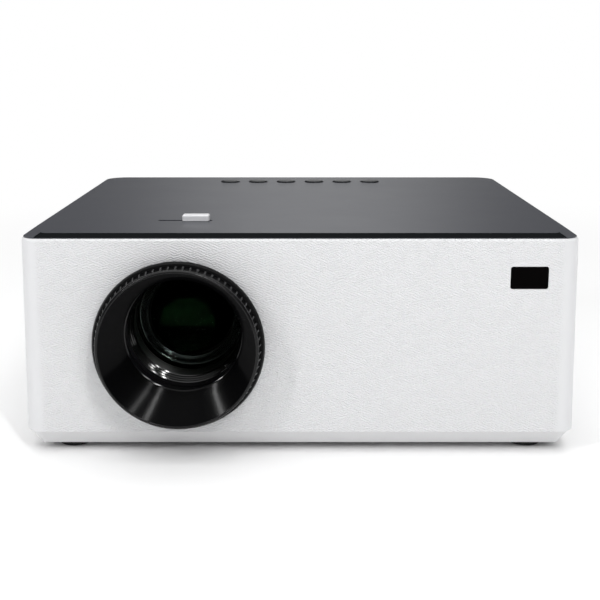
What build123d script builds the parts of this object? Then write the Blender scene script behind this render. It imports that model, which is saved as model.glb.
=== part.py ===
from build123d import *
import math
import os

# Home projector with one LCD panel, lit by an LED. Millimetres.
# X runs to the right as seen from the front, Y runs to the rear, Z up.
# The origin is on the table, under the middle of the whole object.

# Case
case_width = 235.0           # across the top edge
case_depth = 215.0           # front face to rear face
case_top = 95.0              # top face above the table
side_draft = 1.1             # each side stands this much wider at its foot
front_corner_radius = 8.0
rear_corner_radius = 12.0
wall = 2.2
rim_height = 94.4            # white rim round the dark top cover
rim_radius = 1.2
seam_height = 10.1           # base cover meets the shell
base_bottom = 3.1
base_inset = 6.0             # chamfer of the base cover, measured inwards
panel_wrap = 14.0            # front and rear panels run round the corners
panel_gap = 0.3
air_slot_width = 2.6
air_slot_pitch = 5.4
gap = 0.3                    # clearance between loose neighbours

base_seam_inset = 0.6
base_floor = 5.3
lip_height = 2.5             # lip of the base cover, inside the shell
foot_radius = 7.5
foot_seat = 1.0

# Top cover
cover_inset = 0.7
cover_plug = 2.0             # part of the cover that drops inside the walls
cover_edge = 0.2
strip_half_width = 111.0
strip_depth = 11.3           # front to rear
strip_thickness = 0.3
strip_drop = 0.05            # strip sits this much under the cover
strip_corner = 3.0           # rounded corners of the cover behind the strip
facet_length = 40.0
facet_drop = 0.4

# Screws and posts
post_radius = 4.5
post_top = 30.0
screw_radius = 1.5
screw_head_radius = 2.9
screw_seat = 22.0
tripod_x = 0.0
tripod_y = -20.0
tripod_length = 9.0
tripod_body_radius = 5.0
tripod_thread_radius = 3.175  # quarter-inch thread

# Lens, on an axis along Y
lens_reach = 13.0            # focus ring in front of the front face
lens_x = -50.9
lens_z = 49.7
lens_hole = 35.0
band_radius = 36.3
band_front = 7.2             # in front of the front face
band_rear = 5.0              # in front of the front face
neck_radius = 34.5
rib_front = 11.9             # in front of the front face
rib_floor = 33.6
rib_count = 70
rib_width = 0.9
hood_mouth_radius = 32.7
hood_waist_radius = 26.6
hood_waist = 3.0             # distances behind the front face
hood_throat_radius = 25.7
hood_rear = 14.0
sleeve_outer = 33.6
glass_opening = 24.4
barrel_front = 27.0
barrel_length = 45.0
barrel_radius = 28.0
tube_front = 12.6
tube_radius = 31.5
flange_front = 46.0
flange_rear = 49.0
focus_travel = 3.5           # lens barrel, each way
guide_pin_radius = 1.5
guide_pin_place = 34.0
guide_pin_root = 26.8
guide_pin_reach = 31.0
flange_width = 72.0
flange_height = 58.0
flange_holes = [(x, z) for x in (-32.0, 32.0) for z in (-25.0, 25.0)]

# Glass: front place, front curve, rear place, rear curve, edge radius
front_lens_form = (40.5, 62.0, 47.0, -260.0, 25.9)
middle_lens_form = (57.0, -48.0, 59.0, -60.0, 18.2)
rear_lens_form = (63.1, 90.0, 69.9, 70.0, 20.2)
condenser_form = (58.0, 26.0, 74.9, 400.0, 22.0)

# Window of the remote receiver
window_x = 96.1
window_z = 77.8
window_width = 15.8
window_height = 9.5
window_sunk = 0.2
window_flange = 1.2          # wider than the opening, behind the wall

# Keystone slider, its slot in the top cover and the frame that it tilts
slot_left = -64.9
slot_right = -40.0
slot_place = 45.3            # behind the front face
slot_width = 2.6
tab_left = -53.6
tab_right = -41.3
tab_depth = 6.0
tab_height = 2.8
stem_length = 9.6
slide_left = -11.0           # travel of the slider
slide_right = 1.5
rail_length = 56.0
rail_height = 3.4
rail_place = 7.0
link_height = 86.5
link_thickness = 1.5
frame_x = 12.0
frame_thickness = 8.0
frame_width = 68.0
frame_bottom = 21.4
frame_top = 78.0
pivot_height = 24.0
pivot_radius = 1.6
peg_radius = 1.8
panel_width = 64.0
panel_height = 42.0
panel_thickness = 2.5
field_lens_thickness = 2.0

# Keys
key_count = 6
key_pitch = 16.5
key_radius = 5.45
key_place = 191.7            # behind the front face
key_height = 1.0             # above the top cover
key_travel = 0.6
switch_top = 88.4            # lower end of a key's stem
key_board_top = 84.0

# Optical engine
fold_y = 32.0                # axis of the lamp leg, along X
engine_floor = 18.0
engine_lid_bottom = 80.0
engine_lid_top = 82.0
engine_wall = 2.0
engine_left = -88.0
engine_right = 76.0
engine_half_width = 37.5
mirror_thickness = 3.0
mirror_length = 80.0
lamp_plate_x = 72.0
heat_sink_x = 79.0
heat_sink_size = 60.0
fin_count = 14

# Fan
fan_x = 99.5
fan_depth = 15.0
fan_size = 60.0
fan_bore = 28.6
blade_radius = 27.4
hub_radius = 15.0
blade_count = 7
fan_shaft_radius = 1.5

# Electronics and sockets
board_bottom = 9.6
board_thickness = 1.6
main_board_x = 44.0
main_board_y = 67.5
main_board_width = 112.0
main_board_depth = 83.0
power_board_x = 54.0
power_board_y = -53.0
power_board_width = 88.0
power_board_depth = 74.0
socket_set_back = 0.4        # behind the rear face
socket_depth = 13.0
socket_wall = 0.5
socket_opening = 0.3         # round each socket, in the rear panel
hdmi_places = (92.0, 72.0)
hdmi_width = 15.0
hdmi_height = 5.6
hdmi_centre = 3.0            # above the board
usb_places = (52.0, 34.0)
usb_width = 13.6
usb_height = 5.8
usb_centre = 3.1             # above the board
audio_places = (18.0, 6.0)
audio_radius = 3.2
audio_bore = 1.8
audio_centre = 4.0           # above the board
inlet_x = -88.0
inlet_z = 26.0
inlet_width = 21.0
inlet_height = 12.0
inlet_depth = 17.0
inlet_cavity_width = 15.0
inlet_cavity_height = 8.2
inlet_set_back = 0.2
pin_pitch = 8.6
pin_radius = 1.2
speaker_x = -115.0
speaker_y = 32.0
speaker_radius = 22.0
speaker_ring = 1.5           # wall of the basket

# Blocks on the boards: x, y, width, depth, height
chips = [
    (30.0, 46.0, 24.0, 24.0, 6.0),
    (66.0, 44.0, 14.0, 10.0, 1.6),
    (84.0, 58.0, 10.0, 10.0, 4.0),
    (-4.0, 60.0, 6.0, 24.0, 4.0),
    (56.0, 86.0, 18.0, 12.0, 1.6),
    (24.0, 88.0, 10.0, 10.0, 5.0),
    (82.0, 88.0, 12.0, 8.0, 1.6),
]
power_blocks = [
    (42.0, -50.0, 28.0, 24.0, 24.0),
    (70.0, -46.0, 4.0, 40.0, 24.0),
    (86.0, -34.0, 12.0, 16.0, 14.0),
    (24.0, -78.0, 20.0, 10.0, 8.0),
]
capacitor_places = [(56.0, -78.0), (72.0, -78.0), (88.0, -78.0)]

# Worked out
front = -(case_depth + lens_reach) / 2 + lens_reach
rear = front + case_depth
cover_underside = rim_height - cover_plug
board_top = board_bottom + board_thickness
lens_plane = Plane(origin=(lens_x, front, lens_z), x_dir=(0, 1, 0), z_dir=(1, 0, 0))
lens_axis = Axis((lens_x, front, lens_z), (0, 1, 0))
lamp_plane = Plane(origin=(0, fold_y, lens_z), x_dir=(1, 0, 0), z_dir=(0, -1, 0))
lamp_axis = Axis((0, fold_y, lens_z), (1, 0, 0))
mirror_normal = (1, -1, 0)
engine_front = front + flange_rear
engine_middle = (engine_floor + engine_wall + engine_lid_bottom) / 2
engine_inner_height = engine_lid_bottom - engine_floor - engine_wall - 0.2
engine_inner_width = 2 * (engine_half_width - engine_wall) - 0.2
condenser_radius = condenser_form[-1]
rail_x = (slot_left + slot_right) / 2
key_xs = [(i - (key_count - 1) / 2) * key_pitch for i in range(key_count)]
key_spots = [(x, front + key_place) for x in key_xs]
key_board_posts = [(x, front + key_place) for x in (-54.0, 54.0)]
hdmi_spots = [(x, board_top + hdmi_centre) for x in hdmi_places]
usb_spots = [(x, board_top + usb_centre) for x in usb_places]
audio_spots = [(x, board_top + audio_centre) for x in audio_places]
flange_spots = [(lens_x + x, lens_z + z) for x, z in flange_holes]
post_places = [(x, y) for x in (-107.5, 107.5) for y in (-70.0, 100.0)]
board_posts = [(x, y) for x in (-8.0, 96.0) for y in (30.0, 106.0)]
power_posts = [(x, y) for x in (14.0, 94.0) for y in (-86.0, -20.0)]
engine_posts = [(-80.0, -44.0), (-22.0, -44.0), (-78.0, -8.0), (-40.0, 60.0), (20.0, 2.0), (68.0, 2.0)]
foot_places = {
    "foot_front_left": (-100.0, front + 17.0),
    "foot_front_right": (100.0, front + 17.0),
    "foot_rear_left": (-98.0, rear - 26.0),
    "foot_rear_right": (98.0, rear - 26.0),
}

os.makedirs("parts", exist_ok=True)


def save(builder, name):
    """Name a finished piece and write it to its own file."""
    builder.part.label = name
    export_step(builder.part, f"parts/{name}.step")


def case_plan(height, inset):
    """Outline of the case in plan at a height, drawn in all round by an inset."""
    share = (rim_height - height) / (rim_height - seam_height)
    width = case_width + 2 * side_draft * share - 2 * inset
    with BuildSketch(Plane.XY.offset(height)) as outline:
        with Locations((0, (front + rear) / 2)):
            Rectangle(width, case_depth - 2 * inset)
        fillet(outline.vertices().group_by(Axis.Y)[0], max(front_corner_radius - inset, 1.5))
        fillet(outline.vertices().group_by(Axis.Y)[-1], max(rear_corner_radius - inset, 1.5))
    return outline.sketch


def across(y):
    """Plane square to Y, seen from the front, with its origin on the Z axis."""
    return Plane(origin=(0, y, 0), x_dir=(1, 0, 0), z_dir=(0, -1, 0))


def sideways(x):
    """Plane square to X, with Y to the right and Z up."""
    return Plane(origin=(x, 0, 0), x_dir=(0, 1, 0), z_dir=(1, 0, 0))


def level(z):
    """Plane square to Z at a height."""
    return Plane.XY.offset(z)


def turned(points, plane=lens_plane):
    """Section of a turned piece: points are (place along the axis, radius)."""
    with BuildSketch(plane) as section:
        with BuildLine():
            Polyline(*points, close=True)
        make_face()
    return section.sketch


def sag(curve_radius, radius):
    """Depth of a ball surface at a radius. A negative curve is hollow."""
    depth = math.sqrt(curve_radius ** 2 - radius ** 2)
    return curve_radius - math.copysign(depth, curve_radius)


def glass(front_place, front_curve, rear_place, rear_curve, radius, plane=lens_plane):
    """Half section of a lens. A positive curve bulges outwards on either side."""
    half = radius / 2
    front_edge = (front_place + sag(front_curve, radius), radius)
    rear_edge = (rear_place - sag(rear_curve, radius), radius)
    with BuildSketch(plane) as section:
        with BuildLine():
            ThreePointArc((front_place, 0), (front_place + sag(front_curve, half), half), front_edge)
            Line(front_edge, rear_edge)
            ThreePointArc(rear_edge, (rear_place - sag(rear_curve, half), half), (rear_place, 0))
            Line((rear_place, 0), (front_place, 0))
        make_face()
    return section.sketch


def engine_plan(height, inset):
    """L-shaped outline of the engine, cut off behind the mirror, drawn in by an inset."""
    low = fold_y - engine_half_width
    high = fold_y + engine_half_width
    inner_x = lens_x + engine_half_width
    behind_mirror = fold_y - lens_x + math.sqrt(2) * (mirror_thickness + 0.2 + engine_wall)
    with BuildSketch(level(height)) as outline:
        with BuildLine():
            Polyline(
                (engine_left, engine_front),
                (engine_left, engine_left + behind_mirror),
                (high - behind_mirror, high),
                (engine_right, high),
                (engine_right, low),
                (inner_x, low),
                (inner_x, engine_front),
                close=True,
            )
        make_face()
        if inset > 0:
            offset(amount=-inset, kind=Kind.INTERSECTION)
    return outline.sketch


def case_block(inset):
    """Solid block from the seam to the rim, drawn in all round by an inset."""
    low = case_width / 2 + side_draft - inset
    high = case_width / 2 - inset
    with BuildPart() as block:
        with BuildSketch(across(front + inset)):
            with BuildLine():
                Polyline((-low, seam_height), (low, seam_height), (high, rim_height), (-high, rim_height), close=True)
            make_face()
        extrude(amount=2 * inset - case_depth)
        front_edges = block.faces().sort_by(Axis.Y)[0].edges().sort_by(Axis.X)
        fillet([front_edges[0], front_edges[-1]], front_corner_radius - inset)
        rear_edges = block.faces().sort_by(Axis.Y)[-1].edges().sort_by(Axis.X)
        fillet([rear_edges[0], rear_edges[-1]], rear_corner_radius - inset)
    return block.part


def shell_ring():
    """The four walls of the case in one ring, from the seam to the rim."""
    with BuildPart() as ring:
        add(case_block(0))
        fillet(ring.faces().sort_by(Axis.Z)[-1].edges(), rim_radius)
        add(case_block(wall), mode=Mode.SUBTRACT)
    return ring.part


def cut_slots(plane, centre, length, count):
    """Cut a column of rounded air slots through a wall of the current part."""
    with BuildSketch(plane) as slots:
        with Locations(centre):
            with GridLocations(0, air_slot_pitch, 1, count):
                SlotOverall(length, air_slot_width)
    extrude(slots.sketch, amount=2 * wall + side_draft, both=True, mode=Mode.SUBTRACT)


# Front panel: it runs round both front corners and has the lens hole and the window.
with BuildPart() as front_panel:
    add(shell_ring())
    split(bisect_by=Plane(origin=(0, front + panel_wrap, 0), z_dir=(0, -1, 0)), keep=Keep.TOP)
    with BuildSketch(across(front)):
        with Locations((lens_x, lens_z)):
            Circle(lens_hole)
    extrude(amount=-2 * wall, mode=Mode.SUBTRACT)
    with BuildSketch(across(front)):
        with Locations((window_x, window_z)):
            RectangleRounded(window_width + 0.2, window_height + 0.2, 1.05)
    extrude(amount=-2 * wall, mode=Mode.SUBTRACT)
save(front_panel, "front_panel")

# Side panels, with air slots. The right one is where the fan blows out.
side_front = front + panel_wrap + panel_gap
side_rear = rear - panel_wrap - panel_gap
for name, side in (("left_side_panel", -1), ("right_side_panel", 1)):
    with BuildPart() as side_panel:
        add(shell_ring())
        split(bisect_by=Plane(origin=(0, side_front, 0), z_dir=(0, 1, 0)), keep=Keep.TOP)
        split(bisect_by=Plane(origin=(0, side_rear, 0), z_dir=(0, -1, 0)), keep=Keep.TOP)
        split(bisect_by=Plane(origin=(0, 0, 0), z_dir=(side, 0, 0)), keep=Keep.TOP)
        cut_slots(sideways(side * case_width / 2), (fold_y, lens_z), 64, 11)
    save(side_panel, name)

# Rear panel, with openings for the sockets, and air slots above them.
with BuildPart() as rear_panel:
    add(shell_ring())
    split(bisect_by=Plane(origin=(0, rear - panel_wrap, 0), z_dir=(0, 1, 0)), keep=Keep.TOP)
    with BuildSketch(across(rear)):
        with Locations(hdmi_spots):
            Rectangle(hdmi_width + 2 * socket_opening, hdmi_height + 2 * socket_opening)
        with Locations(usb_spots):
            Rectangle(usb_width + 2 * socket_opening, usb_height + 2 * socket_opening)
        with Locations(audio_spots):
            Circle(audio_radius + socket_opening)
        with Locations((inlet_x, inlet_z)):
            RectangleRounded(inlet_width + socket_opening, inlet_height + socket_opening, 2.0)
    extrude(amount=2 * wall, mode=Mode.SUBTRACT)
    cut_slots(across(rear), (30, 58), 90, 7)
save(rear_panel, "rear_panel")

# Top cover: a plate that lies on the rim, with a plug inside the walls. Its front edge is
# let in for the trim strip, and each front corner falls away in a long shallow facet.
facet_run = case_width / 2 - strip_half_width
with BuildPart() as top_cover:
    extrude(case_plan(rim_height, cover_inset), amount=case_top - rim_height)
    fillet(top_cover.faces().sort_by(Axis.Z)[-1].edges(), cover_edge)
    extrude(case_plan(cover_underside, wall + gap), amount=cover_plug)
    for side in (-1, 1):
        slope = (side * facet_length * facet_drop, -facet_run * facet_drop, facet_length * facet_run)
        facet = Plane(origin=(side * strip_half_width, front, case_top), z_dir=slope)
        split(bisect_by=facet, keep=Keep.BOTTOM)
    # Recess of the trim strip, with the cover's rounded corners behind it
    with BuildSketch(level(case_top)):
        with Locations((0, front + (strip_depth + strip_corner) / 2)):
            Rectangle(2 * strip_half_width, strip_depth + strip_corner)
        with Locations((0, front + strip_depth + 20)):
            RectangleRounded(2 * strip_half_width, 40, strip_corner, mode=Mode.SUBTRACT)
    extrude(amount=-strip_thickness - strip_drop, mode=Mode.SUBTRACT)
    # Slot of the keystone slider and wells of the keys
    with BuildSketch(level(case_top)):
        with Locations(((slot_left + slot_right) / 2, front + slot_place)):
            SlotOverall(slot_right - slot_left, slot_width)
        with Locations(key_spots):
            Circle(key_radius + gap)
    extrude(amount=-2 * cover_plug, mode=Mode.SUBTRACT)
    # Two rails under the cover guide the keystone slider
    with BuildSketch(level(cover_underside)):
        with Locations((rail_x, front + slot_place - rail_place), (rail_x, front + slot_place + rail_place)):
            Rectangle(rail_length, 1.6)
    extrude(amount=-rail_height)
    # Bosses: four over the base cover's posts, and three that carry the key board
    with BuildSketch(level(cover_underside)):
        with Locations(post_places):
            Circle(post_radius)
    extrude(amount=post_top - cover_underside + gap)
    with BuildSketch(level(cover_underside)):
        with Locations(key_board_posts):
            Circle(3.0)
    extrude(amount=key_board_top - cover_underside)
    with BuildSketch(level(post_top)):
        with Locations(post_places):
            Circle(screw_radius + 0.05)
    extrude(amount=18, mode=Mode.SUBTRACT)
    with BuildSketch(level(key_board_top)):
        with Locations(key_board_posts):
            Circle(1.1)
    extrude(amount=5, mode=Mode.SUBTRACT)
save(top_cover, "top_cover")

# Trim strip: gloss black, let into the front edge of the top cover.
with BuildPart() as front_trim_strip:
    with BuildSketch(level(case_top - strip_drop - strip_thickness)):
        with Locations((0, front + cover_inset + (strip_depth + strip_corner - cover_inset) / 2)):
            Rectangle(2 * strip_half_width - 0.2, strip_depth + strip_corner - cover_inset - 0.1)
        with Locations((0, front + strip_depth + 19.9)):
            RectangleRounded(2 * strip_half_width, 40, strip_corner, mode=Mode.SUBTRACT)
    extrude(amount=strip_thickness)
save(front_trim_strip, "front_trim_strip")

# Base cover: a tray with a chamfered under-edge, a lip inside the shell, screw posts,
# standoffs for the boards and the engine, and the boss of the tripod insert.
with BuildPart() as base_cover:
    loft([case_plan(base_bottom, base_inset), case_plan(seam_height, base_seam_inset)])
    fillet(base_cover.faces().sort_by(Axis.Z)[0].edges(), 0.6)
    extrude(case_plan(seam_height, wall + gap), amount=lip_height)
    loft([case_plan(base_floor, base_inset + 0.7), case_plan(seam_height, wall + 1.8)], mode=Mode.SUBTRACT)
    extrude(case_plan(seam_height, wall + 1.8), amount=lip_height, mode=Mode.SUBTRACT)
    # The lip leaves room for the sockets
    with BuildSketch(level(seam_height)):
        with Locations((main_board_x + 4, rear - 6)):
            Rectangle(main_board_width, 12)
    extrude(amount=lip_height, mode=Mode.SUBTRACT)
    with BuildSketch(level(base_floor)):
        with Locations(post_places):
            Circle(post_radius)
    extrude(amount=post_top - base_floor)
    with BuildSketch(level(base_floor)):
        with Locations(board_posts + power_posts):
            Circle(3.0)
    extrude(amount=board_bottom - base_floor)
    with BuildSketch(level(base_floor)):
        with Locations(engine_posts):
            Circle(4.0)
    extrude(amount=engine_floor - base_floor)
    with BuildSketch(level(base_floor)):
        with Locations((tripod_x, tripod_y)):
            Circle(8.0)
    extrude(amount=tripod_length - base_floor + base_bottom + 1.5)
    # Screw holes: clear through the posts, with a deep well for each head
    with BuildSketch(level(base_bottom)):
        with Locations(post_places):
            Circle(screw_radius + 0.2)
    extrude(amount=post_top - base_bottom, mode=Mode.SUBTRACT)
    with BuildSketch(level(base_bottom)):
        with Locations(post_places):
            Circle(screw_head_radius + 0.4)
    extrude(amount=screw_seat - base_bottom, mode=Mode.SUBTRACT)
    with BuildSketch(level(base_bottom)):
        with Locations((tripod_x, tripod_y)):
            Circle(tripod_body_radius)
    extrude(amount=tripod_length, mode=Mode.SUBTRACT)
    # Shallow seats of the feet
    with BuildSketch(level(base_bottom)):
        with Locations(list(foot_places.values())):
            Circle(foot_radius + 0.1)
    extrude(amount=foot_seat, mode=Mode.SUBTRACT)
    # Air slots under the power board
    cut_slots(level(base_bottom), (60, -40), 50, 9)
save(base_cover, "base_cover")

# Feet: four soft rubber discs, glued in their seats.
for name, place in foot_places.items():
    with BuildPart() as foot:
        with BuildSketch(level(0)):
            with Locations(place):
                Circle(foot_radius)
        extrude(amount=base_bottom + foot_seat)
        fillet(foot.faces().sort_by(Axis.Z)[0].edges(), 0.8)
    save(foot, name)

# Tripod insert: brass, with a plain bore at the thread's size.
with BuildPart() as tripod_insert:
    with BuildSketch(level(base_bottom)):
        with Locations((tripod_x, tripod_y)):
            Circle(tripod_body_radius)
            Circle(tripod_thread_radius, mode=Mode.SUBTRACT)
    extrude(amount=tripod_length)
save(tripod_insert, "tripod_insert")

# Case screws: four, driven up through the base cover's posts into the top cover's bosses.
with BuildPart() as case_screws:
    with BuildSketch(level(screw_seat - 2)):
        with Locations(post_places):
            Circle(screw_head_radius)
    extrude(amount=2)
    with BuildSketch(level(screw_seat - 2)):
        with Locations(post_places):
            RegularPolygon(1.4, 6)
    extrude(amount=1.2, mode=Mode.SUBTRACT)
    with BuildSketch(level(screw_seat)):
        with Locations(post_places):
            Circle(screw_radius)
    extrude(amount=post_top + 12 - screw_seat)
save(case_screws, "case_screws")

# Remote receiver: a dark window in the front panel, and a small board behind it.
with BuildPart() as ir_window:
    with BuildSketch(across(front + window_sunk)):
        with Locations((window_x, window_z)):
            RectangleRounded(window_width, window_height, 0.95)
    extrude(amount=window_sunk - wall - 0.05)
    with BuildSketch(across(front + wall + 0.05)):
        with Locations((window_x, window_z)):
            RectangleRounded(window_width + 2 * window_flange, window_height + 2 * window_flange, 1.6)
    extrude(amount=-1.0)
    fillet(ir_window.faces().sort_by(Axis.Y)[0].edges(), 0.3)
save(ir_window, "ir_window")

with BuildPart() as ir_receiver:
    with BuildSketch(across(front + 10.0)):
        with Locations((window_x, window_z)):
            Rectangle(12, 13)
    extrude(amount=-1.2)
    with BuildSketch(across(front + 10.0)):
        with Locations((window_x, window_z)):
            Rectangle(6, 6.5)
    extrude(amount=3.0)
    with BuildSketch(across(front + 7.0)):
        with Locations((window_x, window_z)):
            Circle(2.4)
    extrude(amount=1.6)
save(ir_receiver, "ir_receiver")

# Focus ring: rim, ribbed grip, flange, neck, and the hood that narrows towards the glass.
# Its sleeve turns on the fixed lens tube.
rib = Plane(origin=(lens_x, front - rib_front, lens_z), x_dir=(1, 0, 0), z_dir=(0, 1, 0))
with BuildPart() as focus_ring:
    revolve(turned([
        (-lens_reach, hood_mouth_radius),
        (-lens_reach, 33.3),
        (-12.3, 34.0),
        (-rib_front, 34.1),
        (-rib_front, rib_floor - 0.1),
        (-band_front, rib_floor + 0.4),
        (-band_front, band_radius - 0.4),
        (-band_front + 0.4, band_radius),
        (-band_rear - 0.4, band_radius),
        (-band_rear, band_radius - 0.4),
        (-band_rear, neck_radius),
        (1.0, neck_radius),
        (1.0, sleeve_outer),
        (20.0, sleeve_outer),
        (20.0, tube_radius + gap),
        (-4.0, tube_radius + gap),
        (-4.0, 31.0),
        (hood_waist, hood_waist_radius + 1.4),
        (hood_rear, hood_throat_radius + 1.4),
        (hood_rear, hood_throat_radius),
        (hood_waist, hood_waist_radius),
    ]), axis=lens_axis)
    with BuildSketch(rib):
        with PolarLocations(34.1, rib_count):
            Rectangle(1.6, rib_width)
    extrude(amount=rib_front - band_front)
save(focus_ring, "focus_ring")

# Lens barrel: it slides in the lens tube, kept from turning by two pins, and holds the glass.
barrel_rear = barrel_front + barrel_length
with BuildPart() as lens_barrel:
    revolve(turned([
        (barrel_front, 26.6),
        (barrel_front, barrel_radius),
        (barrel_rear, barrel_radius),
        (barrel_rear, 20.3),
        (64.5, 20.3),
        (64.5, 16.0),
        (62.0, 16.0),
        (62.0, 18.3),
        (54.0, 18.3),
        (54.0, 21.0),
        (51.0, 21.0),
        (51.0, 24.2),
        (48.4, 24.2),
        (48.4, 26.6),
    ]), axis=lens_axis)
    with BuildSketch(level(lens_z)):
        with Locations((lens_x, front + guide_pin_place)):
            Circle(guide_pin_radius)
    extrude(amount=barrel_radius + 1, both=True, mode=Mode.SUBTRACT)
save(lens_barrel, "lens_barrel")

with BuildPart() as guide_pins:
    with BuildSketch(level(lens_z)):
        with Locations((lens_x, front + guide_pin_place)):
            Circle(guide_pin_radius)
    extrude(amount=guide_pin_reach, both=True)
    with BuildSketch(level(lens_z)):
        with Locations((lens_x, front + guide_pin_place)):
            Circle(guide_pin_radius)
    extrude(amount=guide_pin_root, both=True, mode=Mode.SUBTRACT)
save(guide_pins, "guide_pins")

# The triplet of glass, front to rear.
with BuildPart() as front_lens:
    revolve(glass(*front_lens_form), axis=lens_axis)
save(front_lens, "front_lens")

with BuildPart() as middle_lens:
    revolve(glass(*middle_lens_form), axis=lens_axis)
save(middle_lens, "middle_lens")

with BuildPart() as rear_lens:
    revolve(glass(*rear_lens_form), axis=lens_axis)
save(rear_lens, "rear_lens")

# Stepped ring that is screwed in front of the front lens. Behind its lip it widens to the glass.
with BuildPart() as lens_retaining_ring:
    revolve(turned([
        (barrel_front + 0.3, 25.6),
        (barrel_front + 0.3, 26.5),
        (45.9, 26.5),
        (45.9, 25.5),
        (33.0, glass_opening),
        (32.4, glass_opening),
        (32.4, glass_opening + 0.5),
        (30.8, glass_opening + 0.5),
        (30.8, glass_opening + 0.9),
        (29.0, glass_opening + 0.9),
        (29.0, 25.6),
    ]), axis=lens_axis)
save(lens_retaining_ring, "lens_retaining_ring")

with BuildPart() as rear_retaining_ring:
    revolve(turned([(67.7, 18.0), (67.7, 20.2), (71.2, 20.2), (71.2, 18.0)]), axis=lens_axis)
save(rear_retaining_ring, "rear_retaining_ring")

# Lens tube: fixed, with a flange against the engine and a straight slot for each guide pin.
with BuildPart() as lens_tube:
    revolve(turned([
        (tube_front, barrel_radius + gap),
        (tube_front, tube_radius),
        (flange_rear, tube_radius),
        (flange_rear, barrel_radius + gap),
    ]), axis=lens_axis)
    with BuildSketch(level(lens_z)):
        with Locations((lens_x, front + guide_pin_place)):
            SlotOverall(2 * (focus_travel + guide_pin_radius + 0.6), 2 * guide_pin_radius + 0.4, rotation=90)
    extrude(amount=tube_radius + 1, both=True, mode=Mode.SUBTRACT)
    with BuildSketch(across(front + flange_rear)):
        with Locations((lens_x, lens_z)):
            RectangleRounded(flange_width, flange_height, 4)
            Circle(tube_radius - 0.5, mode=Mode.SUBTRACT)
        with Locations(flange_spots):
            Circle(1.6, mode=Mode.SUBTRACT)
    extrude(amount=flange_rear - flange_front)
save(lens_tube, "lens_tube")

with BuildPart() as tube_screws:
    with BuildSketch(across(front + flange_front)):
        with Locations(flange_spots):
            Circle(2.8)
    extrude(amount=2.0)
    with BuildSketch(across(front + flange_front)):
        with Locations(flange_spots):
            Circle(1.5)
    extrude(amount=-(flange_rear - flange_front) - engine_wall)
save(tube_screws, "tube_screws")

# Optical engine: an L-shaped tray. One leg runs along the lens axis, the other to the lamp.
with BuildPart() as engine_housing:
    extrude(engine_plan(engine_floor, 0), amount=engine_lid_bottom - engine_floor)
    extrude(
        engine_plan(engine_floor + engine_wall, engine_wall),
        amount=engine_lid_top - engine_floor,
        mode=Mode.SUBTRACT,
    )
    with BuildSketch(across(front + flange_rear)):
        with Locations((lens_x, lens_z)):
            Circle(barrel_radius + 1)
        with Locations(flange_spots):
            Circle(1.5)
    extrude(amount=-2 * engine_wall, mode=Mode.SUBTRACT)
    with BuildSketch(sideways(engine_right)):
        with Locations((fold_y, engine_middle)):
            Rectangle(2 * (engine_half_width - engine_wall), engine_lid_bottom - engine_floor - engine_wall)
    extrude(amount=-engine_wall, mode=Mode.SUBTRACT)
    # Bearings of the keystone frame
    with BuildSketch(across(fold_y)):
        with Locations((frame_x, pivot_height)):
            Circle(pivot_radius + 0.08)
    extrude(amount=engine_half_width + 1, both=True, mode=Mode.SUBTRACT)
save(engine_housing, "engine_housing")

with BuildPart() as engine_lid:
    extrude(engine_plan(engine_lid_bottom, 0), amount=engine_lid_top - engine_lid_bottom)
    with BuildSketch(level(engine_lid_bottom)):
        with Locations((frame_x + (slide_left + slide_right) / 2, fold_y)):
            Rectangle(slide_right - slide_left + 2 * peg_radius + 3, 2 * peg_radius + 1.6)
    extrude(amount=engine_lid_top - engine_lid_bottom, mode=Mode.SUBTRACT)
save(engine_lid, "engine_lid")

# Folding mirror: it turns the light from the lamp leg into the lens leg.
with BuildPart() as fold_mirror:
    with BuildSketch(Plane(origin=(lens_x, fold_y, engine_middle), x_dir=(1, 1, 0), z_dir=mirror_normal)):
        Rectangle(mirror_length, engine_inner_height)
    extrude(amount=-mirror_thickness)
save(fold_mirror, "fold_mirror")

# Keystone frame: it swings on two pins and carries the LCD panel and its field lens.
# A peg on its top edge stands up through the engine's lid into the link.
frame_plane = sideways(frame_x - frame_thickness / 2)
frame_middle = (frame_bottom + frame_top) / 2
with BuildPart() as keystone_frame:
    with BuildSketch(frame_plane):
        with Locations((fold_y, frame_middle)):
            Rectangle(frame_width, frame_top - frame_bottom)
            Rectangle(panel_width - 8, panel_height - 8, mode=Mode.SUBTRACT)
    extrude(amount=frame_thickness)
    with BuildSketch(frame_plane):
        with Locations((fold_y, frame_middle)):
            Rectangle(panel_width + 0.3, panel_height + 0.3)
    extrude(amount=panel_thickness, mode=Mode.SUBTRACT)
    with BuildSketch(sideways(frame_x + frame_thickness / 2)):
        with Locations((fold_y, frame_middle)):
            Rectangle(panel_width + 0.3, panel_height + 0.3)
    extrude(amount=-field_lens_thickness, mode=Mode.SUBTRACT)
    with BuildSketch(across(fold_y)):
        with Locations((frame_x, pivot_height)):
            Circle(pivot_radius)
    extrude(amount=engine_half_width - 0.2, both=True)
    with BuildSketch(level(frame_top)):
        with Locations((frame_x, fold_y)):
            Circle(peg_radius)
    extrude(amount=link_height + link_thickness + 0.8 - frame_top)
save(keystone_frame, "keystone_frame")

with BuildPart() as lcd_panel:
    with BuildSketch(frame_plane):
        with Locations((fold_y, frame_middle)):
            Rectangle(panel_width, panel_height)
    extrude(amount=panel_thickness)
save(lcd_panel, "lcd_panel")

with BuildPart() as field_lens:
    with BuildSketch(sideways(frame_x + frame_thickness / 2)):
        with Locations((fold_y, frame_middle)):
            Rectangle(panel_width, panel_height)
    extrude(amount=-field_lens_thickness)
save(field_lens, "field_lens")

# Collimating Fresnel lens, fixed across the lamp leg, and the lamp plate that holds the condenser.
with BuildPart() as collimating_lens:
    with BuildSketch(sideways(36.0)):
        with Locations((fold_y, engine_middle)):
            Rectangle(engine_inner_width, engine_inner_height)
    extrude(amount=2.0)
save(collimating_lens, "collimating_lens")

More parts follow.
